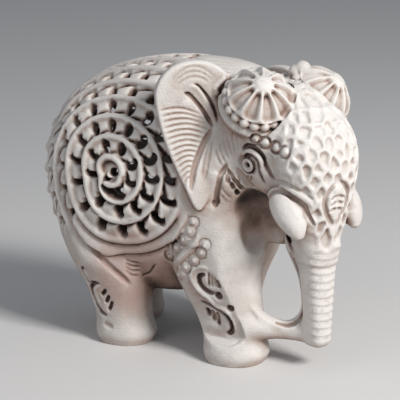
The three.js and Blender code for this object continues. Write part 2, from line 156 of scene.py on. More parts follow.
# Stations from sole to hip: [z, centre x, centre y, half width, half length]
LEGS = {
    "front_right": [
        [0, -15.3, -19.2, 9.6, 9.2],
        [3, -15.3, -19.5, 10, 10],
        [8, -15.2, -18.6, 8.9, 9.4],
        [14, -15, -17, 9, 10.4],
        [20, -15, -14.9, 10, 11.8],
        [27, -14.5, -12.6, 11, 13.4],
        [36, -12.5, -11.5, 12, 15.5],
        [48, -10, -8, 12, 16],
    ],
    "front_left": [
        [0, 12, -6.2, 8.7, 8.7],
        [3, 12, -6.2, 9.3, 9.3],
        [8, 12, -6.2, 8.4, 8.6],
        [14, 12, -6.6, 8.8, 9.2],
        [20, 12, -7.2, 9.5, 10.5],
        [27, 12, -8.4, 10.5, 12.5],
        [36, 11, -9, 11.5, 15],
        [48, 9, -8, 12, 16],
    ],
    "hind_right": [
        [0, -13, 19.5, 8.3, 8.7],
        [3, -13, 19.5, 9, 9.5],
        [8, -13, 20.2, 8.1, 8.9],
        [14, -13, 21.2, 8.4, 9.9],
        [20, -13, 22.6, 9.3, 11.3],
        [27, -13, 25, 10, 13.4],
        [36, -11, 28, 11, 15],
        [46, -9, 30, 11, 16],
    ],
    "hind_left": [
        [0, 10.5, 28.2, 8.3, 8.5],
        [3, 10.5, 28.2, 9, 9.2],
        [8, 10.6, 28.2, 8.1, 8.6],
        [14, 10.8, 28.2, 8.4, 9.4],
        [20, 11.2, 28.4, 9.3, 11],
        [27, 11.6, 28.6, 10, 13],
        [36, 11, 29, 11, 15],
        [46, 9, 30, 11, 16],
    ],
}
JOINT = 3.0  # how far a big form's joint is filled


def upright(stations, count):
    """Level rings, spaced along stations with a leg's columns."""
    return [
        ((x, y, z), (half, 0, 0), (0, long, 0)) for z, x, y, half, long in eased(stations, count)
    ]


for stations in LEGS.values():
    join(skin(upright(stations, 26)), soft=JOINT)

# ---- Brisket and neck ---------------------------------------------------------------------
# The chest between the fore legs, and the thick neck that carries the turned head.

# Same columns as a leg's
BRISKET = [
    [22, -2, -9, 9, 9],
    [30, -4, -11, 12, 11],
    [38, -6, -15, 13, 12.2],
    [46, -6, -16, 14, 14],
    [58, -5, -14, 16, 16],
]
HEAD = (-7.0, -33.0)
TURN = math.radians(27)
FORWARD = np.array([-math.sin(TURN), -math.cos(TURN), 0.0])
LEFT = np.array([math.cos(TURN), -math.sin(TURN), 0.0])
UP = np.array([0.0, 0.0, 1.0])


def head_point(forward, left, z):
    """A point of the head's own frame: forward and left of its middle, at a height."""
    return np.array([HEAD[0], HEAD[1], 0.0]) + FORWARD * forward + LEFT * left + UP * z


join(skin(upright(BRISKET, 14)), soft=JOINT)

neck_back, neck_front = np.array([0.0, -6.0, 63.0]), head_point(-2, 0, 66)
run = (neck_front - neck_back) / np.linalg.norm(neck_front - neck_back)
across = np.cross(UP, run)
across /= np.linalg.norm(across)
NECK = [[0, 19, 22.5], [0.5, 17, 20.5], [1, 14, 17]]  # [share of the way, half width, half height]
rings = [
    (neck_back + (neck_front - neck_back) * t, across * half, UP * high)
    for t, half, high in eased(NECK, 9)
]
join(skin(rings), soft=JOINT)

# ---- Head and trunk -----------------------------------------------------------------------
# A broad skull with a face that swells forward over the root of the trunk. The trunk hangs
# straight down, flattens at its back and tapers to a tip that is tied to the right fore leg.

# In the head's frame: [z, centre forward, half width, half length]
SKULL = [
    [36, -4, 5, 5.5],
    [40, -3.6, 8, 8.6],
    [46, -3, 10.5, 11.5],
    [52, -2, 13, 13],
    [58, -1.5, 15, 14],
    [64, -1, 16, 14.5],
    [70, -1.4, 16.6, 14.5],
    [76, -2.2, 16.6, 13.5],
    [81, -3.4, 15, 11.5],
    [84.5, -4.4, 11, 8],
]
FACE = [
    [80.5, 3, 6.5, 6],
    [77, 5.6, 10.5, 8.6],
    [71.5, 8.3, 13, 10],
    [65, 10.4, 13.6, 10.4],
    [58, 11.2, 12.4, 10],
    [52, 11.2, 10.8, 9.2],
    [46, 11.2, 9.2, 8.2],
    [40, 11.6, 7.4, 6.6],
    [34, 12.3, 5.6, 5.2],
]
for stations, soft in ((SKULL, JOINT), (FACE, 2.0)):
    rings = [
        (head_point(forward, 0, z), LEFT * half, FORWARD * long)
        for z, forward, half, long in eased(stations, 24)
    ]
    join(skin(rings), soft=soft)

# The trunk at its top and foot: (height, forward, half width, half length)
TRUNK_TOP = (38.0, 11.8, 6.0, 6.1)
TRUNK_FOOT = (9.0, 13.2, 3.5, 3.7)
TRUNK_TIP, TRUNK_TAPER = 6.8, 0.62
# The tip's rounding: [share of the way down it, share of the foot's width]
TRUNK_END = ((0.4, 0.93), (0.75, 0.78), (1.0, 0.5))
rings = []
for share in np.linspace(0, 1, 22):
    z, forward = (a + (b - a) * share for a, b in zip(TRUNK_TOP[:2], TRUNK_FOOT[:2]))
    half, long = (a + (b - a) * share**TRUNK_TAPER for a, b in zip(TRUNK_TOP[2:], TRUNK_FOOT[2:]))
    rings.append((head_point(forward, 0, z), LEFT * half, FORWARD * long))
for share, shrink in TRUNK_END:
    z = TRUNK_FOOT[0] + (TRUNK_TIP - TRUNK_FOOT[0]) * share
    place = head_point(TRUNK_FOOT[1], 0, z)
    rings.append((place, LEFT * TRUNK_FOOT[2] * shrink, FORWARD * TRUNK_FOOT[3] * shrink))
join(skin(rings, power=2.9, sides=48), soft=3.2)

# ---- Hollow and pierced blanket -----------------------------------------------------------
# The barrel is worked out from inside, down to a wall of a few millimetres, and its skin is
# carved as a blanket: one ridge winds out from an eye on each flank, and small leaves branch
# from it, each leading to a drilled drop. The same work runs on as rows over back and rump.

# The hollow: the wall left round it, its floor, and its ends
WALL, FLOOR, HOLLOW_BACK, HOLLOW_FRONT = 4.6, 33.0, 42.0, -10.0
profile = eased(TORSO, 120)[::-1]
rings = []
for share in np.linspace(0, 1, 24):
    y = HOLLOW_BACK + (HOLLOW_FRONT - HOLLOW_BACK) * (1 - math.cos(math.pi * share)) / 2
    top, bottom, half = (np.interp(y, profile[:, 0], profile[:, i]) for i in (1, 2, 3))
    top, bottom = top - WALL, max(bottom + WALL, FLOOR)
    centre = (0, y, (top + bottom) / 2)
    rings.append((centre, (half - WALL, 0, 0), (0, 0, (top - bottom) / 2)))
hollow = distance(skin(rings, power=2.4))

# The flank's middle and half axes, for arc lengths forward and up from it over the skin
FLANK = (14.6, 53.4)
FLANK_HALF, FLANK_LONG, FLANK_HIGH = 24.4, 36.0, 35.0
FLANK_SHORTENING = 0.45  # how far an arc falls short of its long half axis on the way round
EYE = (-4.2, 2.0)  # the spiral's eye, forward and up of the flank's middle
# The ridge winds out evenly, but runs closer behind the eye, where the flank turns to the rump
RIDGE_START, PITCH, TURNS = 3.9, 6.3, 8
DIP, DIP_AT, DIP_WIDE = 5.0, 0.545, 0.16
# Drops stand closer together near the eye: millimetres apart there, and more with every turn
FIRST_DROP = -0.167
DROP_SPACING, DROP_GROWTH, WIDEST_SPACING = 3.0, 1.3, 7.0


def ridge(turn):
    """The ridge's distance from the eye, in turns from level and forward."""
    near = np.exp(-(((turn % 1 - DIP_AT) / DIP_WIDE) ** 2))
    return RIDGE_START + PITCH * turn - DIP * np.clip(0.6 + 0.4 * turn, 0, 1) * near


ridge_turns = np.linspace(0, TURNS, TURNS * 96)
ridge_reach = ridge(ridge_turns)
drops = [FIRST_DROP]
while drops[-1] < TURNS - 1.5:
    spacing = min(DROP_SPACING + DROP_GROWTH * max(drops[-1], 0), WIDEST_SPACING)
    drops.append(drops[-1] + spacing / (2 * math.pi * ridge(max(drops[-1], 0))))


def flank_places(x, y, z):
    """Arc lengths forward and up from the flank's middle."""
    a, b, c = np.abs(x) / FLANK_HALF, (FLANK[0] - y) / FLANK_LONG, (z - FLANK[1]) / FLANK_HIGH
    swing = np.arctan2(np.hypot(b, c), a)
    heading = np.arctan2(c, b)
    long = np.hypot(FLANK_LONG * np.cos(heading), FLANK_HIGH * np.sin(heading))
    arc = swing * (long - FLANK_SHORTENING * (long - FLANK_HALF) * (2 * swing / math.pi) ** 2)
    return arc * np.cos(heading), arc * np.sin(heading)


def smooth(low, high, value):
    """0 below low, 1 above high, and an eased step between."""
    t = np.clip((value - low) / (high - low), 0, 1)
    return t * t * (3 - 2 * t)


EYE_RING, EYE_BREAK = 3.4, 0.64  # the eye's own ring, and the turn where it leaves the ridge
# The eye is two round holes with a post of stone between them: [forward, up, radius]
EYE_HOLES = ((-3.2, 2.9, 1.45), (-5.5, 0.7, 1.0))


def between_ridges(radius, angle):
    """The ridge's distances from the eye inside and outside each place, and its turn there."""
    inner = np.where((angle > EYE_BREAK) & (radius > EYE_RING), EYE_RING, 0.0)
    outer = np.interp(angle, ridge_turns, ridge_reach)
    turn = angle - 1
    for n in range(TURNS - 1):
        this = np.interp(angle + n, ridge_turns, ridge_reach)
        beyond = radius > this
        inner = np.where(beyond, this, inner)
        outer = np.where(beyond, np.interp(angle + n + 1, ridge_turns, ridge_reach), outer)
        turn = np.where(beyond, angle + n, turn)
    return inner, outer, turn


# Leaves and drops, in millimetres and in shares of the gap between two ridges
ROWS_FROM = 2.41  # rows over back and rump, from this turn on, have drops on their inner side
BACK_FROM, BACK_ANGLES = 3.1, (0.14, 0.38)  # rows over the back, whose leaves lean the other way
NUDGE = 0.01  # the turn over which the drops' pace is measured
LEAF_ROOT, LEAF_BEND, LEAF_CURL, LEAF_SLANT = 0.5, 0.62, 2.6, 1.61
DROP_MIDDLE, DROP_RADIUS, WIDEST_DROP = 0.64, 1.75, 0.33
FRONT_SHIFT, FRONT_GROWTH = 0.03, 0.3  # drops before the eye lie further out and are larger
TIP_AHEAD, TIP_UP, TIP_RADIUS = 1.8, 0.3, 1.4  # the leaf tip that hangs over a drop
CORD_HEIGHT, CORD_HALF, RUMP_SINK = 0.3, 0.9, 0.8
LEAF_LOW, LEAF_TILT, LEAF_DEEPEST = -0.45, 1.1, -2.0


def blanket(forward, up):
    """The carving's height over the skin, and the distance to the nearest drop's edge."""
    radius = np.hypot(forward - EYE[0], up - EYE[1])
    angle = np.arctan2(up - EYE[1], forward - EYE[0]) / (2 * math.pi) % 1.0
    inner, outer, turn = between_ridges(radius, angle)
    gap = outer - inner
    across = (radius - inner) / gap
    across = np.where(turn > ROWS_FROM, 1 - across, across)
    count = np.interp(turn, drops, np.arange(len(drops)))
    pace = np.interp(turn + NUDGE, drops, np.arange(len(drops))) - count
    stride = 2 * math.pi * NUDGE * radius / np.maximum(pace, 1e-3)
    back = (turn > BACK_FROM) & (angle > BACK_ANGLES[0]) & (angle < BACK_ANGLES[1])
    count = np.where(back, -count, count)
    # A leaf's edge leaves the drop, bends back along the ridge and runs into it
    rise = np.maximum(LEAF_ROOT - across, 0)
    bend = LEAF_BEND * (np.exp(LEAF_CURL * rise) - 1)
    slant = np.where(across < LEAF_ROOT, -LEAF_SLANT * np.exp(LEAF_CURL * rise), 0)
    leaf = count - bend
    part = leaf - np.floor(leaf)
    steep = np.sqrt((1 / stride) ** 2 + (slant / gap) ** 2)
    edge = np.minimum(part, 1 - part) / steep
    front = smooth(0.22, 0.08, np.minimum(angle, 1 - angle)) * (turn > 0)
    middle = DROP_MIDDLE + FRONT_SHIFT * front
    off = (count - np.round(count)) * stride
    high = (across - middle) * gap
    drop = np.hypot(off * 1.12, np.where(high < 0, high * 0.72, high * 1.02))
    hole = drop - np.minimum(DROP_RADIUS + FRONT_GROWTH * front, WIDEST_DROP * gap)
    # Leaves hang, so before and behind the eye each tip overlaps the drop under it
    lap = -np.cos(2 * math.pi * angle)
    tip = np.hypot(off + TIP_AHEAD * np.sign(lap), high + TIP_UP) - TIP_RADIUS * np.abs(lap)
    hole = np.maximum(hole, -tip)
    # Heights: rounded ridges, full leaves, and grooves that deepen into the drops
    rim = np.minimum(radius - inner, outer - radius)
    cord = CORD_HEIGHT - 0.5 * rim**2 - 2.6 * np.maximum(rim - CORD_HALF, 0)
    rump = smooth(2.8, 3.3, turn) * smooth(0.37, 0.43, angle) * smooth(0.68, 0.6, angle)
    cord = cord - RUMP_SINK * rump
    near = smooth(-0.1, 0.5, across) * smooth(0.86, 0.64, across)
    plate = LEAF_LOW + LEAF_TILT * lap * (part - 0.5) * smooth(0.0, 0.4, across)
    plate = plate - (0.5 + 1.0 * near) * np.exp(-((edge / (0.32 + 0.26 * near)) ** 2))
    plate = plate - 0.8 * np.exp(-np.maximum(hole, 0) / 0.3)
    plate = np.maximum(plate, LEAF_DEEPEST)
    plate = plate + rump * (1.7 * part - 1.0)
    height = -blended(-cord, -plate, 0.4)
    inside = (turn < 0) & (inner < 1)
    outer = np.where(inside & (angle > EYE_BREAK), EYE_RING, outer)
    pair = np.minimum(*(np.hypot(forward - f, up - u) - r for f, u, r in EYE_HOLES))
    hole = np.where(inside, pair, hole)
    bowl = np.maximum(CORD_HEIGHT - 1.3 * smooth(0.2, 1.4, outer - radius), cord)
    height = np.where(inside, bowl, height)
    return hemmed(height, hole, radius, angle, turn)


HEM_TURNS, HEM_START = (2.6, 4.98), 0.61  # the turns that the hem lies under, and where it starts
HEM_OUT, HEM_HEIGHT = 3.1, 0.3  # the cord's distance outside the last ridge, and its height
NO_DROP = 3.0


def hemmed(height, hole, radius, angle, turn):
    """The same, with a groove and the blanket's corded hem under the last ridge, then plain skin."""
    below = (turn > HEM_TURNS[0]) & (angle > HEM_START) & (turn < HEM_TURNS[1])
    out = radius - np.interp(angle + 2, ridge_turns, ridge_reach)
    hem = HEM_HEIGHT - 0.45 * (out - HEM_OUT) ** 2
    hem = -blended(-np.maximum(hem, -1.1), 0.45 * out**2 - HEM_HEIGHT, 0.3)
    skirt = np.minimum(-0.9 + 0.9 * smooth(4.0, 6.5, out), 0)
    hem = np.where(out > HEM_OUT, np.maximum(hem, skirt), hem)
    fade = smooth(HEM_START, 0.65, angle)
    height = np.where(below, height + (hem - height) * fade, height)
    hole = np.where(below & (angle > 0.63), NO_DROP, hole)
    return height, hole


BLANKET_LOW, BLANKET_HIGH = np.array([-30.0, -34.0, 22.0]), np.array([28.0, 53.0, 93.0])
FRONT_FADE, FOOT_FADE = (18.0, 16.0), (-26.5, -24.5)  # the blanket fades in between these
DRILLED_FROM, SPINE_HALF = -24, 1.2  # no drops lower than this, nor this close to the spine


def carve_blanket():
    """Carves and drills both flanks, and opens the hollow."""
    low = np.floor((BLANKET_LOW - BLOCK_LOW) / CELL).astype(int)
    high = np.ceil((BLANKET_HIGH - BLOCK_LOW) / CELL).astype(int)
    box = tuple(slice(a, b) for a, b in zip(low, high))
    body, inside = stone[box], hollow[box]
    at = np.nonzero((body < 2.2) & (inside > -1.5))
    x, y, z = (BLOCK_LOW[i] + CELL * (low[i] + at[i]) for i in range(3))
    forward, up = flank_places(x, y, z)
    height, hole = blanket(forward, up)
    within = smooth(*FRONT_FADE, forward) * smooth(*FOOT_FADE, up)
    drilled = (within > 0.5) & (np.abs(x) > SPINE_HALF) & (up > DRILLED_FROM)
    body[at] = np.maximum(body[at] - height * within, np.where(drilled, -hole, -BAND))
    body[...] = np.maximum(body, -inside)


carve_blanket()

# ---- Ears ---------------------------------------------------------------------------------
# Two broad ears cut as plates that are swung back from the cheeks; their lower ends stand off
# the shoulders. They are part of the same stone.

# Outline: [run back from the root, height]
EAR = [
    [-3.2, 72], [-2, 85], [3, 90.2], [9.5, 91.2], [15.4, 89.6], [19.6, 85],
    [20.4, 79], [17.6, 67], [12.4, 54.5], [8.2, 47], [3.4, 53.6], [0, 60],
]
EAR_LOW, EAR_HIGH = 47.0, 91.2
EAR_THICKNESS = 3.4
# Root x and y, the way back, stand-off at the lower end, drop, and which flank
EARS = {
    "right": ((-15.5, -15.0), (-0.573, 0.819), 4.5, 0.0, -1),
    "left": ((14.5, -29.0), (0.42, 0.907), 4.0, 5.8, 1),
}


def ear_point(ear, run, z, off):
    """A point of an ear: back from its root, at a height, and out from its back face."""
    (x, y), (back_x, back_y), lift, drop, side = ear
    out = off - EAR_THICKNESS + lift * (1 - (z - EAR_LOW) / (EAR_HIGH - EAR_LOW))
    x, y = x + back_x * run + back_y * side * out, y + back_y * run - back_x * side * out
    return Vector((x, y, z - drop))


closed = EAR[-2:] + EAR + EAR[:2]
outline = eased(closed, (len(closed) - 1) * 6 + 1)[12:-12]
for ear in EARS.values():
    bm = bmesh.new()
    edge = [bm.verts.new((run, z, 0)) for run, z in outline[:-1]]
    plate = bm.faces.new(edge)
    raised = bmesh.ops.extrude_face_region(bm, geom=[plate])["geom"]
    for v in (v for v in raised if isinstance(v, bmesh.types.BMVert)):
        v.co.z = EAR_THICKNESS
    bmesh.ops.recalc_face_normals(bm, faces=bm.faces)
    rims = [e for e in bm.edges if abs(e.verts[0].co.z - e.verts[1].co.z) < 1e-6]
    bmesh.ops.bevel(
        bm, geom=rims, offset=0.8, segments=3, affect="EDGES", profile=0.5, material=-1
    )
    for v in bm.verts:
        v.co = ear_point(ear, v.co.x, v.co.y, v.co.z)
    join(bm, soft=1.2)

# ---- Tusks --------------------------------------------------------------------------------
# Two short thick tusks curving down and forward out of the cheeks.


def limb(stations, count=14, level=UP):
    """A round form along [point, radius] stations, square to its run."""
    path = eased([[*point, radius] for point, radius in stations], count)
    ahead = np.gradient(path[:, :3], axis=0)
    rings = []
    for (x, y, z, radius), run in zip(path, ahead):
        run = run / np.linalg.norm(run)
        across = np.cross(level, run)
        across /= np.linalg.norm(across)
        rings.append(((x, y, z), across * radius, np.cross(run, across) * radius))
    return skin(rings, 2.0, 24)


# In the head's frame: [forward, aside, height, radius]
TUSK = [
    (6.2, 9.6, 53.6, 3.6),
    (9.8, 10.8, 51.4, 4.5),
    (12.4, 11.3, 48.8, 4.4),
    (14.6, 11.3, 46.2, 3.6),
    (16.0, 11.2, 44.0, 2.4),
    (16.9, 10.8, 42.4, 1.0),
]
for side in (-1, 1):
    join(limb([(head_point(ahead, side * aside, z), r) for ahead, aside, z, r in TUSK]), soft=0.5)

# ---- Domes of the brow --------------------------------------------------------------------
# Two round domes on the crown, leaning forward and out, one each side of a deep crease.

DOME = (-2.5, 11.0, 79.0)  # forward, left or right, height
DOME_RADIUS = 11.0
LEAN, SPLAY = math.radians(46), math.radians(28)
LEFT_SINKS = 1.8  # the left dome sits a little lower


def dome_frame(side):
    """A dome's middle, and its axis with two directions square to it."""
    axis = FORWARD * math.sin(LEAN) * math.cos(SPLAY)
    axis = axis + LEFT * side * math.sin(LEAN) * math.sin(SPLAY) + UP * math.cos(LEAN)
    across = np.cross(LEFT, axis)
    across /= np.linalg.norm(across)
    middle = head_point(DOME[0], side * DOME[1], DOME[2] - (LEFT_SINKS if side > 0 else 0))
    return middle, axis, across, np.cross(axis, across)


for side in (-1, 1):
    bm = bmesh.new()
    bmesh.ops.create_icosphere(bm, subdivisions=5, radius=DOME_RADIUS)
    bmesh.ops.translate(bm, verts=bm.verts, vec=Vector(dome_frame(side)[0]))
    join(bm, soft=0.8)

# ---- Tail ---------------------------------------------------------------------------------
# A thin tail laid against the left haunch, with a small tuft.

TAIL = [
    ((2, 46.5, 68), 1.6),
    ((4.5, 49, 56), 2.1),
    ((6.5, 48.4, 44), 1.8),
    ((8, 44.5, 32), 1.6),
    ((9, 40.5, 23), 2.1),
    ((9.2, 38.4, 16), 0.9),
]
join(limb(TAIL, count=30, level=np.array([1.0, 0.0, 0.0])), soft=0.8)

# ---- Window between trunk and leg ---------------------------------------------------------
# The air between the trunk and the right fore leg is framed by a thin raised rim, and a web
# of stone at the foot ties the tip of the trunk to the leg.

WINDOW = np.array([-16.0, -29.0, 0.0])
WINDOW_RUN = np.array([0.352, -0.936, 0.0])
WINDOW_SIDE = np.array([0.936, 0.352, 0.0])
# Rim: [run from the leg, height]
RIM = [
    [5.2, 40.5], [8.2, 34], [10.8, 27.5], [12, 20.5], [11, 15.2],
    [7.5, 12.2], [3, 12.8], [-1.5, 15.2], [-6, 20],
]
RIM_HALF, RIM_THICK = 2.4, 1.1
rim_path = eased(RIM, 40)
rim_places = []
for (run, z), (go_run, go_z) in zip(rim_path, np.gradient(rim_path, axis=0)):
    outward = (WINDOW_RUN * go_z - UP * go_run) / math.hypot(go_run, go_z)
    rim_places.append((WINDOW + WINDOW_RUN * run + UP * z, outward))
rings = [(place, WINDOW_SIDE * RIM_HALF, -outward * RIM_THICK) for place, outward in rim_places]
join(skin(rings, sides=20), soft=0.9)

WEB = [[-9, 11.6, 5.0], [-2, 11.2, 4.0], [5, 10.2, 2.4], [14, 10.2, 3.4]]  # [run, height, radius]
join(limb([(WINDOW + WINDOW_RUN * run + UP * z, r) for run, z, r in WEB]), soft=JOINT)

# ---- Carved head --------------------------------------------------------------------------
# The face is cut with gouges and points: eyes and their folds, an arch over each tusk, fine
# lines on the temple, and a net of sunk cells on the brow. Both sides of the head are alike.

STEP = 0.22  # distance between the tool's places along a cut


def slope(values, places):
    """The block's outward direction at places, and its distances there."""
    cells_at = (places - BLOCK_LOW) / CELL
    away = read_block(values, cells_at)
    out = np.empty_like(places)
    for axis in range(3):
        nudge = np.zeros(3)
        nudge[axis] = 1.2
        out[:, axis] = read_block(values, cells_at + nudge) - read_block(values, cells_at - nudge)
    out /= np.maximum(np.linalg.norm(out, axis=1), 1e-6)[:, None]
    return out, away


def read_block(values, places):
    """Values of the block at places given in cells."""
    base = np.clip(np.floor(places).astype(int), 0, np.array(values.shape) - 2)
    part = places - base
    result = np.zeros(len(places))
    for corner in np.ndindex(2, 2, 2):
        weight = np.prod(np.where(np.array(corner) == 1, part, 1 - part), axis=1)
        result += weight * values[tuple((base + corner).T)]
    return result


def seated(places, values):
    """Places brought to the skin, and the outward direction there."""
    places = np.array(places, float)
    for _ in range(4):
        out, away = slope(values, places)
        places = places - out * away[:, None]
    return places, slope(values, places)[0]


def along(points):
    """Close places along a smooth line through points."""
    points = np.array(points, float)
    length = np.linalg.norm(np.diff(points, axis=0), axis=1).sum()
    return eased(points.tolist(), max(int(length / STEP), 3))


TOOL_REACH = 1.0  # how far round the tool its distances are worked out


def balls(middles, radii, soft, cut=False):
    """Adds balls to the stone, or cuts them out of it."""
    radii = np.full(len(middles), radii)
    low = (middles.min(0) - radii.max() - TOOL_REACH - BLOCK_LOW) / CELL
    high = (middles.max(0) + radii.max() + TOOL_REACH - BLOCK_LOW) / CELL
    low, high = np.maximum(low.astype(int), 0), np.minimum(high.astype(int) + 2, cells)
    size = int(np.ceil((radii.max() + TOOL_REACH) / CELL))
    spread = np.mgrid[-size : size + 1, -size : size + 1, -size : size + 1].reshape(3, -1).T
    spread = spread[np.linalg.norm(spread, axis=1) <= size + 0.5]
    near = np.full(high - low, 9.0)
    nearest = np.round((middles - BLOCK_LOW) / CELL).astype(int)
    at = nearest[:, None, :] + spread[None]
    away = np.linalg.norm(at * CELL + BLOCK_LOW - middles[:, None], axis=2) - radii[:, None]
    at = (at - low).reshape(-1, 3)
    inside = np.all((at >= 0) & (at < high - low), axis=1)
    np.minimum.at(near, tuple(at[inside].T), away.reshape(-1)[inside])
    box = tuple(slice(a, b) for a, b in zip(low, high))
    stone[box] = -blended(-stone[box], near, soft) if cut else blended(stone[box], near, soft)


def work(points, radius, depth, surface, ends=0.35, soft=0.35):
    """Cuts a groove into the skin along points, or raises a cord where depth is negative."""
    line, out = seated(along(points), surface)
    share = np.linspace(0, 1, len(line))
    taper = np.sqrt(np.clip(np.minimum(share, 1 - share) / 0.2, 0, 1))
    radii = radius * (ends + (1 - ends) * taper)
    deep = depth * (ends + (1 - ends) * taper)
    if depth > 0:
        layers = [radii - deep]
        while depth > radius and layers[-1].min() < 0 and len(layers) < 6:
            layers.append(layers[-1] + 0.6 * radii)
        widths = [radii * (1 + 0.12 * n) for n in range(len(layers))]
        middles = np.concatenate([line + out * level[:, None] for level in layers])
        radii = np.concatenate(widths)
    else:
        middles = line - out * (radii + deep)[:, None]
    balls(middles, radii, soft, cut=depth > 0)


def hoop(place, out, radius):
    """Places in a ring round one place of the skin."""
    first = np.cross(out, UP)
    first /= np.linalg.norm(first)
    turns = np.linspace(0, 2 * math.pi, 33)[:, None]
    return place + radius * (np.cos(turns) * first + np.sin(turns) * np.cross(out, first))


def bead(point, radius, rise, surface, gap=0.0, full=1.0):
    """Leaves a round bead, in a ring cut round it where there is a gap."""
    place, out = seated([point], surface)
    if gap:
        ring, ways = seated(hoop(place, out, radius + 0.1), surface)
        balls(np.concatenate([ring - ways * 0.5 * gap, ring + ways * 0.4 * gap]), gap, 0.15, cut=True)
    wide = radius * full
    balls(place + out * (rise - wide), wide, 0.12)


def arc(centre, wide, tall, start, end):
    """Places along part of an oval, from one angle to another, in degrees."""
    turns = np.radians(np.linspace(start, end, 9))
    return [(centre[0] + wide * math.cos(t), centre[1] + tall * math.sin(t)) for t in turns]


# The side of the head: [forward, how far out it stands], and [height, share of that]
CHEEK = [(-12, 21), (-6, 18), (0, 16.2), (4, 15.2), (8, 13.8), (12, 12.6), (15, 11), (18, 7.5), (21, 1)]
LOWER_CHEEK = [(44, 0.72), (50, 0.86), (56, 0.95), (62, 1)]


def cheek(forward, z, side):
    """A place close to the head's skin, from how far forward and how high it is."""
    out = np.interp(forward, *zip(*CHEEK)) * np.interp(z, *zip(*LOWER_CHEEK))
    return head_point(forward, side * out, z)


EYE_PLACE = (-0.9, 61.6)
FOLD_PLACE = (0.3, 62.0)  # the folds round it
ARCH = (11.0, 50.5)  # the middle of the arch over the tusk
# [tool radius, depth, places (forward, height)]
FACE_CUTS = [
    (1.4, 0.7, arc(EYE_PLACE, 2.6, 2.6, 200, -60)),
    (1.4, 0.8, [(-4.5, 60), (-2, 56), (0, 54)]),
    (0.95, 1.9, arc(FOLD_PLACE, 5, 5.4, 125, 15) + [(7.5, 58)]),
    (1.0, -0.45, arc(FOLD_PLACE, 3.8, 3.9, 140, 0) + [(5, 57.5)]),
    (0.7, 1.5, arc(FOLD_PLACE, 2.8, 2.8, 165, -20) + [(4.5, 56.5)]),
    (0.6, -0.4, [(-7.5, 61), (-4.5, 56.5), (-3, 54.5)]),
    (0.6, 1.1, [(-7.5, 60), (-5, 56), (-3, 53.5)]),
    (0.9, 1.0, [(-7.5, 61), (-9.5, 57), (-11.5, 51), (-12, 48)]),
    (1.1, 0.5, arc(ARCH, 7.6, 7.6, 110, 30)),
    (1.1, -0.6, arc(ARCH, 6.8, 6.2, 155, 0)),
    (0.85, 1.0, arc(ARCH, 5.4, 4.6, 170, 0) + [(17.5, 46)]),
    (0.6, 1.2, [(-0.5, 52), (3, 45)]),
]
for n in range(4):  # lashes under the eye
    FACE_CUTS.append((0.32, 0.65, [(-3.9 + 1.3 * n, 58.3), (-3.9 + 0.9 * n, 55.8)]))
for n in range(3):  # drops on the cheek
    FACE_CUTS.append((0.65, 1.2, [(-7.5 + 0.9 * n, 57.5 - 2 * n), (-7.3 + n, 55.9 - 1.7 * n)]))
for n in range(9):  # fine lines of the temple, fanning out
    top = (-10.5 + n, min(66 + 1.3 * n, 72.5))
    FACE_CUTS.append((0.3, 0.4, [top, (-9.9 + n, top[1] - 3), (-8.8 + 0.95 * n, 60.5 + 0.95 * n)]))
for n in range(2):  # wrinkles of the neck
    FACE_CUTS.append((0.3, 0.3, [(-9.8 - 0.7 * n, 54.4 - 1.9 * n), (-7.7 - 0.5 * n, 51.1 - 1.3 * n)]))
# The hollow under the jaw, between tusk and chest: [forward, aside, height]
JAW = [(-1, 13, 51.5), (-1.5, 11.4, 46.5), (-0.8, 9.8, 42), (1.5, 8.6, 38)]
PENDANT_TOP, PENDANT_FOOT, PENDANT_HALF = 59.0, 44.5, 4.4
NET_TOP, NET_FOOT = 80.0, 39.0
NET_CELL, NET_ROW = 3.9, 0.88  # width of the net's cells, and its rows' spacing as a share of that
CELL_HALF, CELL_DEPTH, NET_RISE = 1.0, 0.55, 0.35
# How far round the face the net reaches, in radians, by height
NET_WIDTH = [(39, 0.45), (50, 0.75), (58, 1.0), (66, 1.25), (79, 1.1)]


def pendant(z):
    """Half the width of the leaf that hangs down the trunk's root."""
    share = np.clip((PENDANT_TOP - z) / (PENDANT_TOP - PENDANT_FOOT), 0, 1)
    return PENDANT_HALF * math.sin(math.pi * share**0.8)


def net_places():
    """The net's cells, in staggered rows round the face: [depth, upper end, lower end]."""
    face = np.array(FACE)[::-1]
    found = []
    rows = int((NET_TOP - NET_FOOT) / (NET_ROW * NET_CELL)) + 1
    for row in range(rows):
        for n in range(-9, 10):
            # Sines shift the cells a little, as no two are cut alike
            z = NET_TOP - row * NET_ROW * NET_CELL + 0.5 * math.cos(1.7 * n + 2.9 * row)
            middle, half, deep = (np.interp(z, face[:, 0], face[:, i]) for i in (1, 2, 3))
            step = 2 * NET_CELL / (half + deep)
            turn = (n + 0.5 * (row % 2) + 0.22 * math.sin(2.3 * n + 1.9 * row)) * step
            reach = np.interp(z, *zip(*NET_WIDTH))
            if abs(turn) > reach + step:
                continue
            aside = half * math.sin(turn)
            plain = abs(turn) > reach or (z < PENDANT_TOP and abs(aside) < pendant(z) + 0.8)
            depth = 0.0 if plain else CELL_DEPTH + 0.15 * math.sin(3.1 * n + row)
            ahead = middle + deep * math.cos(turn)
            ends = [head_point(ahead, aside, z + rise) for rise in (CELL_HALF, -CELL_HALF)]
            found.append((depth, *seated(ends, stone)[0]))
    return found


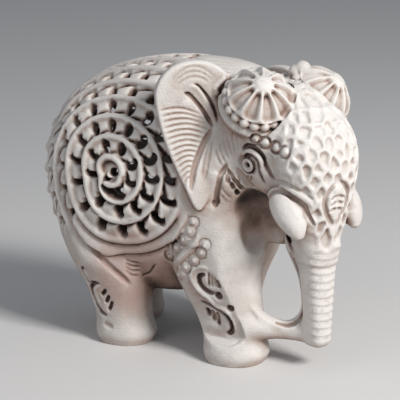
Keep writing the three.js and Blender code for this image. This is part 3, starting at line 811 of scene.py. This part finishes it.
def net_height(places):
    """Height of the net over the skin, from the places of its cells."""
    first, second = np.full(len(places), 99.0), np.full(len(places), 99.0)
    sunk = np.zeros(len(places))
    for depth, start, end in net_places():
        run = end - start
        share = np.clip((places - start) @ run / max(run @ run, 1e-6), 0, 1)
        away = np.linalg.norm(places - start - share[:, None] * run, axis=1)
        closer = away < first
        second = np.where(closer, first, np.minimum(second, away))
        sunk = np.where(closer, depth, sunk)
        first = np.where(closer, away, first)
    rib = (second - first) / 2
    height = NET_RISE - (0.3 + 1.05 * sunk) * smooth(0.25, 0.95, rib)
    return np.where(first < 4.5, height * smooth(4.5, 3.0, first), 0.0)


def near_skin(low, high, reach):
    """A box of the block, its cells that lie within reach of the skin, and their places."""
    low = np.maximum(((low - BLOCK_LOW) / CELL).astype(int), 0)
    high = np.minimum(((high - BLOCK_LOW) / CELL).astype(int), cells)
    part = stone[tuple(slice(a, b) for a, b in zip(low, high))]
    at = np.nonzero(np.abs(part) < reach)
    return part, at, np.array(at).T * CELL + (BLOCK_LOW + low * CELL)


def carve_net():
    """Sinks the net's cells into the brow and the trunk's root."""
    corners = np.array([head_point(f, l, z) for f in (0, 26) for l in (-17, 17) for z in (36, 88)])
    part, at, places = near_skin(corners.min(0), corners.max(0), 2.0)
    middles = [dome_frame(side)[0] for side in (-1, 1)]
    off = np.min([np.linalg.norm(places - middle, axis=1) for middle in middles], 0) - DOME_RADIUS
    part[at] -= (net_height(places) * smooth(0.6, 1.4, off)).astype(np.float32)


surface = stone.copy()
for side in (-1, 1):
    jaw = [head_point(f, side * l, z) for f, l, z in JAW]
    work(jaw, 6.2, 3.4, surface, ends=0.3, soft=2.5)
surface = stone.copy()
carve_net()
for side in (-1, 1):
    for radius, depth, line in FACE_CUTS:
        work([cheek(forward, z, side) for forward, z in line], radius, depth, surface)
    # The leaf on the trunk's root: its outline, and three cuts inside
    heights = np.linspace(PENDANT_TOP, PENDANT_FOOT, 9)
    work([head_point(20, side * pendant(z), z) for z in heights], 0.85, 1.0, surface)
    for n in range(3):
        line = [head_point(20.5, side * 0.4, 54.5 - 2 * n), head_point(20, side * 2.4, 53.6 - 2 * n)]
        work(line, 0.45, 0.5, surface)
    # The eye: a ring with a drilled pupil
    eye, out = seated([cheek(*EYE_PLACE, side)], surface)
    bead(eye[0], 1.95, 0.15, surface, gap=0.6)
    work(hoop(eye, out, 1.65), 0.5, -0.5, surface, ends=1.0)
    balls(np.concatenate([eye + out * h for h in (0.2, -0.3, -0.8)]), 0.72, 0.1, cut=True)

# ---- Carved domes -------------------------------------------------------------------------
# Each dome is fluted from a small cap down, and stands in a ring of beads with a smooth rim.
# Beads run down the crease between the domes and along a strap under each. A knob stands on
# the left dome's inner side.

FLUTES, FLUTE_HALF, FLUTE_DEPTH = 10, 3.1, 1.5
FLUTE_TOP, FLUTE_FOOT = math.radians(14), math.radians(64)
KNOB, KNOB_FOOT = (-4.4, 8.0, 87.2), (-5.6, 6.4, 86.4)  # in the head's frame
BEAD_LINE, BEAD_COUNT, BEAD_RADIUS, BEAD_SUNK = math.radians(75), 20, 1.55, 1.2
RIM_RADIUS = 12.9


def carve_dome(side):
    """Flutes, cap, bead ring and rim of one dome."""
    middle, axis, across, up = dome_frame(side)
    part, at, places = near_skin(middle - 14, middle + 14, 3.0)
    places = places - middle
    radius = np.linalg.norm(places, axis=1)
    lean = np.arccos(np.clip(places @ axis / np.maximum(radius, 1e-6), -1, 1))
    turn = np.arctan2(places @ up, places @ across) / (2 * math.pi) * FLUTES + 0.35
    off = np.abs(turn - np.round(turn)) * 2 * math.pi / FLUTES * DOME_RADIUS * np.sin(lean)
    grow = np.clip((lean - FLUTE_TOP) / (FLUTE_FOOT - FLUTE_TOP), 0, 1)
    half = FLUTE_HALF * np.sqrt(np.clip(grow, 1e-4, 1)) * np.clip((1.12 - grow) / 0.24, 0, 1) ** 0.6
    flute = FLUTE_DEPTH * smooth(1.0, 0.3, off / np.maximum(half, 0.05))
    flute *= smooth(FLUTE_TOP, FLUTE_TOP + 0.15, lean)
    flute *= smooth(FLUTE_FOOT + 0.06, FLUTE_FOOT - 0.04, lean)
    gap = 1.2 * smooth(2.1, 1.1, np.abs((lean - BEAD_LINE) * DOME_RADIUS))
    cap = 0.5 * smooth(2.6, 1.9, lean * DOME_RADIUS)
    near = smooth(0.9, 0.3, radius - DOME_RADIUS) * smooth(-2.4, -1.6, radius - DOME_RADIUS)
    part[at] += ((np.maximum(flute, gap) - cap) * near).astype(np.float32)
    for t in np.linspace(0, 2 * math.pi, BEAD_COUNT, endpoint=False):
        way = math.cos(t) * across + math.sin(t) * up
        out = axis * math.cos(BEAD_LINE) + way * math.sin(BEAD_LINE)
        place = middle + (DOME_RADIUS - BEAD_SUNK) * out
        if abs(slope(surface, place[None])[1][0] + BEAD_SUNK) < 1.0:  # clear of the crown
            balls(place[None], BEAD_RADIUS, 0.15)
    rim = [
        middle + RIM_RADIUS * (math.cos(t) * across + math.sin(t) * up) - axis * 0.4
        for t in np.linspace(0, 2 * math.pi, 61)
    ]
    rim = [p for p in rim if abs(slope(surface, p[None])[1][0]) < 2.4]
    line, out = seated(rim, surface)
    balls(line - out * 0.3, 1.0, 0.5)


for side in (-1, 1):
    carve_dome(side)
for n in range(5):  # beads down the crease between the domes
    bead(head_point(-3.4 + 2.35 * n, 1.2 - 0.25 * n, 86.4 - 0.85 * n), 1.25, 0.7, surface)
balls(np.array([head_point(*KNOB), head_point(*KNOB_FOOT)]), (2.6, 2.2), 1.4)
for side in (-1, 1):
    for n in range(4):  # beads of the strap under the dome
        bead(cheek(2.4 + 3.2 * n, 70.3 - n, side), 1.55, 0.55, surface, gap=0.5)

# ---- Carved ears --------------------------------------------------------------------------
# Two deep creases fall from the top of each ear, and arched ribs fill the space behind them.
# The left ear has the same work.

# [tool radius, depth, places (back along the ear, height)]
EAR_CUTS = [
    (0.5, 0.8, [(9.5, 84.5), (7.5, 83.5), (4, 79), (2, 73)]),
    (0.7, -0.35, [(10.5, 84), (8, 83), (4.5, 77.5), (3, 74)]),
    (0.6, 0.95, [(12, 82), (10, 81), (6, 76), (3.5, 71.5)]),
    (0.95, 1.0, [(4, 71.5), (7, 66), (9.5, 59.5), (10.5, 53)]),
    (0.34, 0.5, [(4, 70), (6.5, 61.5), (7, 56)]),
    (0.34, 0.5, [(3.5, 69), (5.5, 60), (6.5, 55.5)]),
]
RIBS = 14
RIB_ARCH = 1.3
EAR_BACK = [(54.5, 12.9), (67, 17.3), (79, 19.8)]  # [height, how far back the ribs start]
EAR_CREASE = [(56, 10.0), (71.5, 4.8), (75.5, 7.0)]  # [height, how far back they end]
for n in range(RIBS):
    start_z, end_z = 77 - 22.5 * n / (RIBS - 1), 75.5 - 18.5 * n / (RIBS - 1)
    start, end = np.interp(start_z, *zip(*EAR_BACK)), np.interp(end_z, *zip(*EAR_CREASE))
    rib = []
    for t in (0, 0.3, 0.6, 1):
        z = start_z + (end_z - start_z) * t + RIB_ARCH * math.sin(math.pi * t)
        rib.append((start + (end - start) * t, z))
    EAR_CUTS.append((0.36, 0.55, rib))
for ear in EARS.values():
    for radius, depth, line in EAR_CUTS:
        work([ear_point(ear, run, z, EAR_THICKNESS) for run, z in line], radius, depth, surface, ends=0.2)

# ---- Carved legs and belly ----------------------------------------------------------------
# Rows of ringed beads on the shoulders, scrolls and leaves on the legs, a small fan on each
# side of the belly, and fine lines along the back. The left legs' work is lighter.


def on_leg(name, turn, z):
    """A place close to a leg's skin: an angle forward from its outermost line, and a height."""
    stations = np.array(LEGS[name])
    x, y, half, deep = (np.interp(z, stations[:, 0], stations[:, i]) for i in range(1, 5))
    out = half * np.cos(turn) * (-1 if name.endswith("right") else 1)
    return np.array([x + out, y - deep * np.sin(turn), z])


EDGE_TOP, EDGE_FOOT = (39.5, 0.12), (8.3, 0.72)  # [height, angle] of the crisp edge's ends
LEG_FLAT = math.radians(5)
LEG_LOW, LEG_HIGH = np.array([-30.0, -30.0, 4.0]), np.array([-8.0, 4.0, 43.0])


def flatten_leg():
    """Takes the outer side of the right fore leg down to a flat behind its edge."""
    heights = np.linspace(5, 43, 60)
    turns = np.interp(heights, *zip(EDGE_FOOT, EDGE_TOP))
    edge = np.array([on_leg("front_right", turn, z) for turn, z in zip(turns, heights)])
    part, at, places = near_skin(LEG_LOW, LEG_HIGH, 2.8)
    x, y, z = places.T
    edge_x, edge_y = (np.interp(z, edge[:, 2], edge[:, i]) for i in (0, 1))
    flat = (edge_x - x) * math.cos(LEG_FLAT) + (y - edge_y) * math.sin(LEG_FLAT)
    flat = flat - 4.0 * smooth(-0.5, -3.5, y - edge_y) - 4.0 * smooth(16.0, 21.0, y - edge_y)
    flat = flat - 4.0 * smooth(35.0, 41.0, z) - 4.0 * smooth(9.0, 5.0, z)
    flat = np.where(y > edge_y - 2.5, flat, -BAND)
    part[at] = -blended(-part[at], -flat, 0.15)


flatten_leg()

surface = stone.copy()

# Fore leg: [tool radius, depth, places (angle forward, height)]
SCROLL = arc((0.0, 25), 0.38, 5.2, 70, 250) + arc((0.05, 13.3), 0.36, 4.2, 95, -80)
FORE_CUTS = [
    (0.9, -0.5, SCROLL),
    (0.8, 1.4, arc((0.05, 25), 0.24, 3.0, 100, 290)),
    (0.7, 1.3, [(0.30, 26.4), (0.33, 24.5)]),
    (1.25, 1.9, [(0.20, 21.6), (0.23, 21.3)]),
    (1.15, 1.6, [(0.46, 18.3), (0.48, 17.7)]),
    (0.7, 1.5, arc((0.1, 12.4), 0.22, 3.0, 80, -100)),
    (0.45, 0.9, [(-0.42, 18.6), (-0.1, 17.2), (0.2, 15)]),
    (0.5, 0.6, [(-0.4, 7.7), (0.1, 7), (0.6, 8.3)]),
]
for n in range(3):  # slots in the upper and lower halves of the scroll
    FORE_CUTS.append((0.38, 0.85, [(0.03 + 0.09 * n, 24), (0.13 + 0.07 * n, 28.8 - 0.6 * n)]))
    FORE_CUTS.append((0.62, 1.3, [(-0.33 + 0.13 * n, 16.2 - 0.5 * n), (-0.39 + 0.12 * n, 14 - 1.2 * n)]))


def bead_row(share, row):
    """The angle and height of a place along one of the two rows of beads round the shoulder."""
    upper = (-0.06 - 0.94 * share**1.5, 43.2 - 11.5 * share)
    lower = (0.10 - 0.83 * share**1.4, 37.0 - 10.5 * share)
    return tuple(a + (b - a) * row for a, b in zip(upper, lower))


# A strap between the rows, a line on each side of it, and a line over them
for row, radius, depth in (
    (0.5, 0.9, -0.4), (0.26, 0.35, 0.4), (0.74, 0.35, 0.4), (-0.35, 0.4, 0.5)
):
    FORE_CUTS.append((radius, depth, [bead_row(t, row) for t in np.linspace(0, 1, 6)]))
# Hind leg, in the same terms
HIND_CUTS = [
    (1.2, 0.9, [(-0.1 + 0.87 * t, 31.3 - 11.2 * t) for t in np.linspace(0, 1, 5)]),
    (0.45, 0.9, arc((-0.5, 21.6), 0.13, 2.5, 60, 330)),
    (0.8, 1.3, arc((-0.2, 14.5), 0.46, 5.2, 85, 265)),
    (0.6, -0.35, arc((-0.1, 15), 0.32, 4.2, 100, 220)),
    (1.3, 0.5, [(-0.35, 6.4), (-0.05, 5.9)]),
]
for n in range(3):
    HIND_CUTS.append((0.57, 1.1, [(0.055 * n, 17.8 - 1.9 * n), (-0.2 + 0.06 * n, 15.9 - 2.4 * n)]))
for hand, share in (("right", 1.0), ("left", 0.7)):
    for end, cuts in (("front", FORE_CUTS), ("hind", HIND_CUTS)):
        for radius, depth, line in cuts:
            places = [on_leg(f"{end}_{hand}", turn, z) for turn, z in line]
            work(places, radius * (0.4 + 0.6 * share), depth * share, surface)
    for row in (0, 1):
        for t in np.linspace(0, 1, 5):
            place = on_leg(f"front_{hand}", *bead_row(t, row))
            bead(place, 1.5 * (0.6 + 0.4 * share), 0.35 * share, surface, gap=0.5 * share, full=1.7)
            work(hoop(*seated([place], surface), 0.95), 0.2, 0.2 * share, surface, ends=1.0)
# A fan of four cuts on the belly, closed by a curved one, and lines along the back
for side in (-1, 1):
    for n in range(4):
        fan = [(20.8, 15.7, 28.3 - 1.2 * n), (20, 13.8, 27.3 - 1.4 * n), (19, 11.6, 27.2 - 1.6 * n)]
        work([(side * x, y, z) for x, y, z in fan], 0.42, 0.55, surface)
    closing = ((17, 11.5, 22.3), (17.5, 9, 23.8), (19.5, 6, 27.5))
    work([(side * x, y, z) for x, y, z in closing], 0.35, 0.6, surface)
    for n in range(4):
        x = side * (4 + 3.5 * n)
        work([(x, 6 - 2 * n, 88.6), (x * 0.9, -4, 89), (x * 0.6, -13 - n, 88)], 0.42, 0.45, surface)
for ear in EARS.values():
    for n in range(3):  # lines that follow the ear's top edge
        line = arc((9, 76 - 1.5 * n), 9, 13.6, 130 - 5 * n, 45 + 5 * n)
        work([ear_point(ear, run, z, EAR_THICKNESS) for run, z in line], 0.3, 0.3, surface)

# ---- Carved window ------------------------------------------------------------------------
# A deep groove sets the window's rim off from the trunk, whose front is cut in rings.

GROOVE_OUT, GROOVE_ASIDE = 2.0, 2.6  # how far outside the rim the groove runs, and beside it
groove = [
    place + outward * GROOVE_OUT - WINDOW_SIDE * GROOVE_ASIDE
    for place, outward in rim_places[4:30]
]
work(groove, 0.8, 1.7, surface, ends=0.5)

RING_TOP, RING_FOOT, RINGS, RING_RISE = 37.0, 8.4, 12, 0.38


def ring_trunk():
    """Cuts the trunk's front in overlapping rings."""
    middle = head_point(TRUNK_TOP[1], 0, 0)
    part, at, places = near_skin(middle + (-10, -10, 5), middle + (10, 10, 39), 1.5)
    ahead, aside = (places - middle) @ FORWARD, (places - middle) @ LEFT
    count = (RING_TOP - places[:, 2] + 0.06 * aside**2 / 2) / (RING_TOP - RING_FOOT) * RINGS
    share = count - np.floor(count)
    height = -0.1 + RING_RISE * share**1.5 * smooth(1.0, 0.9, share)
    height *= smooth(0.4, 2.2, ahead - 0.3 * np.abs(aside))
    height *= smooth(-0.3, 0.6, count) * smooth(RINGS, RINGS - 0.5, count)
    part[at] -= height.astype(np.float32)


ring_trunk()

# ---- Finished stone -----------------------------------------------------------------------
# The block is skinned as one closed mesh of soapstone. It keeps how closed in each place lies,
# for the shade that is painted into its colour in the cuts and hollows.

TRIANGLES = 190_000
LOOK_OUT = (0.7, 1.3, 2.0, 3.0, 4.4, 6.4, 9.0)  # how far out a place looks for open air
OUTLOOKS = 28
EASE = 0.5  # how far off the skin a look starts
# Painted shade under the jaw and on the belly: [x, y, z, how far it spreads, how much darker]
SHADED_PLACES = [
    (-16.5, -25.0, 44.5, 8.0, 0.24), (-18.5, -20.0, 50.0, 6.5, 0.16), (-15.0, 6.0, 20.0, 11.0, 0.05),
    (16.5, -22.0, 44.5, 6.5, 0.25), (15.0, 10.0, 22.0, 12.0, 0.05),
]


def closed_in(points, out):
    """How much shade to paint into the colour at each place of the skin: the share of the sky that stone
    hides there.
    """
    points = points + out * EASE
    hidden = np.zeros(len(points))
    for n in range(OUTLOOKS):
        rise = 1 - 2 * (n + 0.5) / OUTLOOKS
        swing = n * math.pi * (3 - math.sqrt(5))
        level = math.sqrt(1 - rise * rise)
        way = np.array([level * math.cos(swing), level * math.sin(swing), rise])
        ways = way + out * 1.02
        ways /= np.linalg.norm(ways, axis=1)[:, None]
        stopped = np.zeros(len(points))
        for far in LOOK_OUT:
            at = np.round((points + ways * far - BLOCK_LOW) / CELL).astype(int)
            at = np.clip(at, 0, np.array(cells) - 1)
            stopped = np.maximum(stopped, smooth(0.15, -0.25, stone[tuple(at.T)]) * (1 - far / 16))
        # Looks that run down toward the floor count as partly hidden: painted shade on faces that turn
        # down
        stopped = np.maximum(stopped, 0.7 * smooth(0.0, -0.5, ways[:, 2]))
        hidden += stopped
    hidden /= OUTLOOKS
    # Painted shade on the floors of small cuts, lower than the skin close round them, stronger toward the
    # rump
    first = np.cross(out, [0.3, 0.5, 0.8])
    first /= np.maximum(np.linalg.norm(first, axis=1), 1e-6)[:, None]
    second = np.cross(out, first)
    base = points - out * EASE
    low = np.zeros(len(points))
    for far in (0.9, 1.6):
        for turn in np.arange(8) * math.pi / 4:
            to = base + far * (math.cos(turn) * first + math.sin(turn) * second)
            low += read_block(stone, (to - BLOCK_LOW) / CELL) / far
    cut_shade = 0.024 + 0.02 * smooth(-20.0, -8.0, base[:, 1])
    # Painted shade, deepest under the jaw and on the belly
    for x, y, z, far, much in SHADED_PLACES:
        away = np.linalg.norm(base - (x, y, z), axis=1) / far
        hidden += much * np.exp(-(away**2))
    return np.clip(hidden - cut_shade * low, 0, 1)


def drop_specks(mesh):
    """Leaves only the largest surface, without the specks and bubbles that the tools left."""
    bm = bmesh.new()
    bm.from_mesh(mesh)
    surfaces = []
    for seed in bm.verts:
        if seed.tag:
            continue
        seed.tag = True
        reached = [seed]
        for v in reached:  # it grows while it is gone through
            for e in v.link_edges:
                to = e.other_vert(v)
                if not to.tag:
                    to.tag = True
                    reached.append(to)
        surfaces.append(reached)
    largest = max(surfaces, key=len)
    specks = [v for surface in surfaces if surface is not largest for v in surface]
    bmesh.ops.delete(bm, geom=specks, context="VERTS")
    bm.to_mesh(mesh)
    bm.free()


def skinned(name):
    """The block's skin as a mesh object in metres, with its hollows noted."""
    grid = openvdb.FloatGrid()
    grid.transform = lattice
    grid.background = BAND
    grid.copyFromArray(stone)
    points, triangles, quads = grid.convertToPolygons(0.0, 0.0)
    places = points + BLOCK_LOW
    shade = closed_in(places, slope(stone, places)[0])
    points = (points + BLOCK_LOW - np.array([*MIDDLE, 0.0])) / 1000
    mesh = bpy.data.meshes.new(name)
    mesh.from_pydata(points.tolist(), [], triangles.tolist() + quads.tolist())
    mesh.attributes.new("shade", "FLOAT", "POINT").data.foreach_set("value", shade)
    piece = bpy.data.objects.new(name, mesh)
    bpy.context.collection.objects.link(piece)
    sides = len(triangles) + 2 * len(quads)
    if sides > TRIANGLES:
        thinned = piece.modifiers.new("thinned", "DECIMATE")
        thinned.ratio, thinned.use_collapse_triangulate = TRIANGLES / sides, True
        ready = piece.evaluated_get(bpy.context.evaluated_depsgraph_get())
        piece.modifiers.clear()
        piece.data = bpy.data.meshes.new_from_object(ready)
    drop_specks(piece.data)
    return piece


elephant = skinned("stone_elephant")
for face in elephant.data.polygons:
    face.use_smooth = True


def maths(operation):
    """A sum of two shader values or numbers."""
    return lambda a, b: node("ShaderNodeMath", {"operation": operation}, i0=a, i1=b)


class Level:
    """A shader value that is worked on as a number."""

    __add__ = __radd__ = maths("ADD")
    __mul__, __sub__ = maths("MULTIPLY"), maths("SUBTRACT")

    def __init__(self, socket):
        self.socket = socket


def node(kind, settings=None, out=0, **inputs):
    """Adds a node with its settings, then its sockets' values or links, by name or number."""
    made = tree.nodes.new(kind)
    for key, value in (settings or {}).items():
        setattr(made, key, value)
    for key, value in inputs.items():
        socket = made.inputs[int(key[1:]) if key[1:].isdigit() else key]
        if isinstance(value, Level):
            tree.links.new(value.socket, socket)
        else:
            socket.default_value = value
    return Level(made.outputs[out])


# GREY, PINK, BROWN and DARK are the tiers of painted shade, and the belly's warm pink is painted bounce
# light; GREY and PINK also give the stone's own patches and grain
CREAM, GREY, PINK = (0.79, 0.75, 0.715, 1), (0.51, 0.455, 0.41, 1), (0.42, 0.30, 0.25, 1)
BROWN, DARK, BOUNCE_PINK = (0.17, 0.105, 0.08, 1), (0.03, 0.02, 0.016, 1), (0.40, 0.235, 0.195, 1)

soapstone = bpy.data.materials.new("soapstone")
soapstone.use_nodes = True
tree = soapstone.node_tree
shader = tree.nodes["Principled BSDF"]
place = node("ShaderNodeTexCoord", out="Object")
shade = node("ShaderNodeAttribute", {"attribute_name": "shade"}, out="Fac")


def cloud(scale, detail=3.0, stretch=(1, 1, 1), turn=(0, 0, 0)):
    """Soft noise over the stone, drawn out along one way where it is stretched."""
    laid = node("ShaderNodeMapping", Vector=place, Scale=stretch, Rotation=turn)
    return node("ShaderNodeTexNoise", out="Fac", Vector=laid, Scale=scale, Detail=detail)


def clamped(value, low, high):
    """0 at low and 1 at high."""
    kind = {"interpolation_type": "SMOOTHSTEP"}
    return node("ShaderNodeMapRange", kind, out="Result", i0=value, i1=low, i2=high)


def toned(share, first, second):
    """One colour passing into another."""
    return node("ShaderNodeMix", {"data_type": "RGBA"}, out=2, i0=share, i6=first, i7=second)


patches = clamped(cloud(38.0, 2.0), 0.42, 0.68)
grain = cloud(900.0, 4.0)
colour = toned(patches * 0.35, CREAM, GREY)
south = node("ShaderNodeSeparateXYZ", out="Y", Vector=place)
dot = {"operation": "DOT_PRODUCT"}
brow = node("ShaderNodeVectorMath", dot, out="Value", i0=place, i1=(*FORWARD,))
# How closed in a place lies sets its painted shade, mixed with soft random mottling, painted lighter on
# the brow and darker toward the rump
shade_and_mottle = shade + (cloud(260.0) - 0.5) * 0.2 - clamped(brow, 0.034, 0.044) * 0.1
shade_and_mottle = shade_and_mottle + clamped(south, -0.022, -0.008) * 0.04
colour = toned(clamped(shade_and_mottle, 0.07, 0.32) * 0.8, colour, GREY)
colour = toned(clamped(shade_and_mottle, 0.22, 0.48) * 0.85, colour, PINK)
# Painted warm light reflected up onto each side of the belly, with its shade
for side in (-1, 1):
    centre = (0.0185 * side, 0.0135, 0.025)
    apart = {"operation": "DISTANCE"}
    belly = node("ShaderNodeVectorMath", apart, out="Value", i0=place, i1=centre)
    colour = toned(clamped(belly, 0.019, 0.009) * (0.6 + patches * 0.3), colour, BOUNCE_PINK)
colour = toned(clamped(shade_and_mottle, 0.38, 0.62) * 0.9, colour, BROWN)
colour = toned(clamped(shade_and_mottle, 0.54, 0.74), colour, DARK)
colour = toned(clamped(grain, 0.60, 0.78) * 0.25, colour, PINK)
# File marks in two directions, and a fine tooth
files = cloud(420.0, 2.0, stretch=(1, 1, 5), turn=(0.5, 0.3, 0)) * 0.6
files = files + cloud(500.0, 2.0, stretch=(6, 1, 1), turn=(0, 0.6, 0.4)) * 0.5
relief = files + cloud(1400.0, 3.0) * 0.35
tree.links.new(colour.socket, shader.inputs["Base Color"])
rough = 0.58 + clamped(shade, 0.1, 0.6) * 0.25 + (grain - 0.5) * 0.2
tree.links.new(rough.socket, shader.inputs["Roughness"])
bump = node("ShaderNodeBump", Height=relief, Distance=0.0003, Strength=0.75)
tree.links.new(bump.socket, shader.inputs["Normal"])
elephant.data.materials.append(soapstone)

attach(elephant, "root")
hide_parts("elephant")

# ---- Floor, light and camera --------------------------------------------------------------
# A plain pale floor, a soft light from the elephant's front, and a broad weaker one off its
# right haunch. The camera stands off its right side, toward the front, and looks a little down.

bm = bmesh.new()
bmesh.ops.create_grid(bm, x_segments=1, y_segments=1, size=3.0)
floor_mesh = bpy.data.meshes.new("floor")
bm.to_mesh(floor_mesh)
bm.free()
floor = bpy.data.objects.new("floor", floor_mesh)
bpy.context.collection.objects.link(floor)
pale = bpy.data.materials.new("pale_floor")
pale.use_nodes = True
pale.node_tree.nodes["Principled BSDF"].inputs["Base Color"].default_value = (0.78, 0.77, 0.76, 1)
pale.node_tree.nodes["Principled BSDF"].inputs["Roughness"].default_value = 0.8
floor_mesh.materials.append(pale)

world = bpy.data.worlds.new("studio")
world.use_nodes = True
world.node_tree.nodes["Background"].inputs["Color"].default_value = (0.86, 0.92, 1.0, 1)
world.node_tree.nodes["Background"].inputs["Strength"].default_value = 0.24
bpy.context.scene.world = world
bpy.context.scene.view_settings.view_transform = "Standard"

AIM = Vector((0.0015, 0.0015, 0.044))
for name, place, size, power, tint in (
    ("front_light", (-0.22, -0.60, 0.52), 0.22, 5.6, (1.0, 0.98, 0.96)),
    ("side_light", (-0.70, 0.30, 0.55), 0.5, 0.6, (0.95, 0.97, 1.0)),
):
    light = bpy.data.lights.new(name, "AREA")
    light.size, light.energy, light.color = size, power, tint
    lamp = bpy.data.objects.new(name, light)
    lamp.location = place
    lamp.rotation_euler = (AIM - lamp.location).to_track_quat("-Z", "Y").to_euler()
    bpy.context.collection.objects.link(lamp)

AZIMUTH, ELEVATION, REACH_BACK = math.radians(25), math.radians(14), 0.48
FIELD = 0.125  # width of the view at the aim
back = Vector((-math.cos(AZIMUTH), -math.sin(AZIMUTH), 0)) * math.cos(ELEVATION)
back.z = math.sin(ELEVATION)
lens = bpy.data.cameras.new("camera")
lens.sensor_width, lens.lens = 36, 36 * REACH_BACK / FIELD
lens.clip_start, lens.clip_end = 0.01, 20
camera = bpy.data.objects.new("camera", lens)
camera.location = AIM + back * REACH_BACK
camera.rotation_euler = back.to_track_quat("Z", "Y").to_euler()
bpy.context.collection.objects.link(camera)
bpy.context.scene.camera = camera
